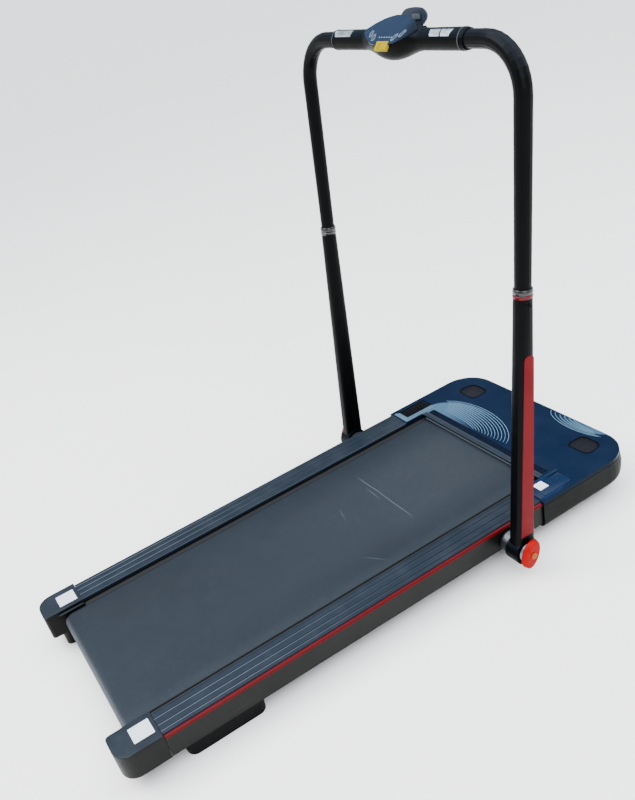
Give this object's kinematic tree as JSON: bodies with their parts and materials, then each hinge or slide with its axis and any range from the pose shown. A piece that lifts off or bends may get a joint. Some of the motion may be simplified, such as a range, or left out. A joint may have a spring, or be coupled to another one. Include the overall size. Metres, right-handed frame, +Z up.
{
  "type": "walking pad treadmill",
  "caption": "Flat motorised walking treadmill with ribbed side rails, a front motor hood and a fold-down U-shaped handrail carrying a small tilted console.",
  "frame": {"origin": "on the floor, under the middle of the machine's length and width", "axes": "+X to the walker's right, +Y from the rear end caps towards the motor hood, +Z up"},
  "size_m": [0.677, 1.2702, 1.0438],
  "materials": {
    "frame_steel": "black paint",
    "bright_steel": "turned",
    "deck_wood": "bare fibreboard",
    "cushion_rubber": "matt",
    "belt_rubber": "fine woven grain",
    "rail_plastic": "satin, ribbed",
    "trim_red": "gloss",
    "cap_plastic": "satin",
    "foot_rubber": "matt",
    "hood_plastic": "fine grain",
    "hood_gloss": "high gloss",
    "display_dark": "smoked, glossy",
    "speaker_mesh": "woven mesh",
    "motor_metal": "plated",
    "board_metal": "extruded fins",
    "drive_rubber": "ribbed",
    "tube_black": "satin powder coat",
    "grip_plastic": "satin",
    "console_gloss": "gloss",
    "key_grey": "satin",
    "safety_yellow": "gloss",
    "knob_red": "satin gloss",
    "flap_smoke": "gloss"
  },
  "bodies": {
    "base": {"belly_pan": "frame_steel", "cross_member_front": "frame_steel", "cross_member_rear": "frame_steel", "deck_board": "deck_wood", "deck_cushion_left": "cushion_rubber", "deck_cushion_right": "cushion_rubber", "display_window": "display_dark", "drive_belt": "drive_rubber", "drive_motor": "motor_metal", "end_cap_left": "cap_plastic", "end_cap_right": "cap_plastic", "front_axle": "bright_steel", "front_foot_left": "foot_rubber", "front_foot_right": "foot_rubber", "hood_body": "hood_plastic", "hood_top": "hood_gloss", "hub_stud_left": "tube_black", "hub_stud_right": "tube_black", "motor_bracket": "frame_steel", "motor_controller": "board_metal", "power_inlet": "hood_plastic", "rail_cover_left": "rail_plastic", "rail_cover_right": "rail_plastic", "rail_trim_left": "trim_red", "rail_trim_right": "trim_red", "rear_axle": "bright_steel", "rear_foot_left": "foot_rubber", "rear_foot_right": "foot_rubber", "running_belt": "belt_rubber", "side_frame_left": "frame_steel", "side_frame_right": "frame_steel", "speaker_left": "speaker_mesh", "speaker_right": "speaker_mesh", "transport_axle": "bright_steel"},
    "front_roller": {"front_roller": "bright_steel", "roller_pulley": "bright_steel"},
    "rear_roller": {"rear_roller": "bright_steel"},
    "motor_rotor": {"motor_shaft": "bright_steel", "flywheel": "motor_metal"},
    "wheel_left": {"transport_wheel_left": "foot_rubber"},
    "wheel_right": {"transport_wheel_right": "foot_rubber"},
    "rocker": {"power_switch": "hood_plastic"},
    "breaker": {"breaker_button": "knob_red"},
    "handrail": {"lower_post_left": "tube_black", "lower_post_right": "tube_black", "collar_left": "tube_black", "collar_right": "tube_black", "handlebar": "tube_black", "grip_left": "grip_plastic", "grip_right": "grip_plastic", "console_housing": "grip_plastic", "console_panel": "console_gloss"},
    "knob_left": {"lock_knob_left": "knob_red"},
    "knob_right": {"lock_knob_right": "knob_red"},
    "holder": {"phone_holder": "flap_smoke"},
    "stop_key": {"safety_key": "safety_yellow"},
    "key_mode": {"mode_key": "key_grey"},
    "key_start": {"start_key": "key_grey"},
    "key_faster": {"faster_key": "key_grey"},
    "key_slower": {"slower_key": "key_grey"}
  },
  "joints": [
    {"name": "handrail_fold", "type": "hinge", "parent": "base", "child": "handrail", "pos_m": [0, 0.2604, 0.0614], "axis": [1, 0, 0], "range_deg": [0, 94.8]},
    {"name": "lock_knob_left_turn", "type": "hinge", "parent": "base", "child": "knob_left", "pos_m": [-0.33, 0.2604, 0.0614], "axis": [-1, 0, 0], "range_deg": [0, 720]},
    {"name": "lock_knob_right_turn", "type": "hinge", "parent": "base", "child": "knob_right", "pos_m": [0.33, 0.2604, 0.0614], "axis": [1, 0, 0], "range_deg": [0, 720]},
    {"name": "front_roller_spin", "type": "hinge", "parent": "base", "child": "front_roller", "pos_m": [0, 0.47, 0.0678], "axis": [1, 0, 0], "continuous": true},
    {"name": "rear_roller_spin", "type": "hinge", "parent": "base", "child": "rear_roller", "pos_m": [0, -0.5735, 0.0678], "axis": [1, 0, 0], "continuous": true},
    {"name": "motor_spin", "type": "hinge", "parent": "base", "child": "motor_rotor", "pos_m": [0, 0.568, 0.062], "axis": [1, 0, 0], "continuous": true},
    {"name": "wheel_left_spin", "type": "hinge", "parent": "base", "child": "wheel_left", "pos_m": [-0.219, 0.575, 0.023], "axis": [1, 0, 0], "continuous": true},
    {"name": "wheel_right_spin", "type": "hinge", "parent": "base", "child": "wheel_right", "pos_m": [0.219, 0.575, 0.023], "axis": [1, 0, 0], "continuous": true},
    {"name": "power_switch_rock", "type": "hinge", "parent": "base", "child": "rocker", "pos_m": [-0.06, 0.636, 0.061], "axis": [1, 0, 0], "range_deg": [0, 14]},
    {"name": "breaker_press", "type": "slide", "parent": "base", "child": "breaker", "axis": [0, -1, 0], "range_m": [0, 0.0015], "stiffness_N_per_m": 800},
    {"name": "phone_holder_fold", "type": "hinge", "parent": "handrail", "child": "holder", "pos_m": [0, 0.38015, 1.01046], "axis": [1, 0, 0], "range_deg": [-90, 0]},
    {"name": "safety_key_pull", "type": "slide", "parent": "handrail", "child": "stop_key", "axis": [0, -0.766, 0.6428], "range_m": [0, 0.015]},
    {"name": "mode_key_press", "type": "slide", "parent": "handrail", "child": "key_mode", "axis": [0, 0.5299, -0.848], "range_m": [0, 0.0008], "stiffness_N_per_m": 500},
    {"name": "start_key_press", "type": "slide", "parent": "handrail", "child": "key_start", "axis": [0, 0.5299, -0.848], "range_m": [0, 0.0008], "stiffness_N_per_m": 500},
    {"name": "faster_key_press", "type": "slide", "parent": "handrail", "child": "key_faster", "axis": [0, 0.5299, -0.848], "range_m": [0, 0.0008], "stiffness_N_per_m": 500},
    {"name": "slower_key_press", "type": "slide", "parent": "handrail", "child": "key_slower", "axis": [0, 0.5299, -0.848], "range_m": [0, 0.0008], "stiffness_N_per_m": 500}
  ],
  "couplings": [
    {"joint": "rear_roller_spin", "follows": "front_roller_spin", "ratio": 1},
    {"joint": "motor_spin", "follows": "front_roller_spin", "ratio": 2.0526}
  ]
}
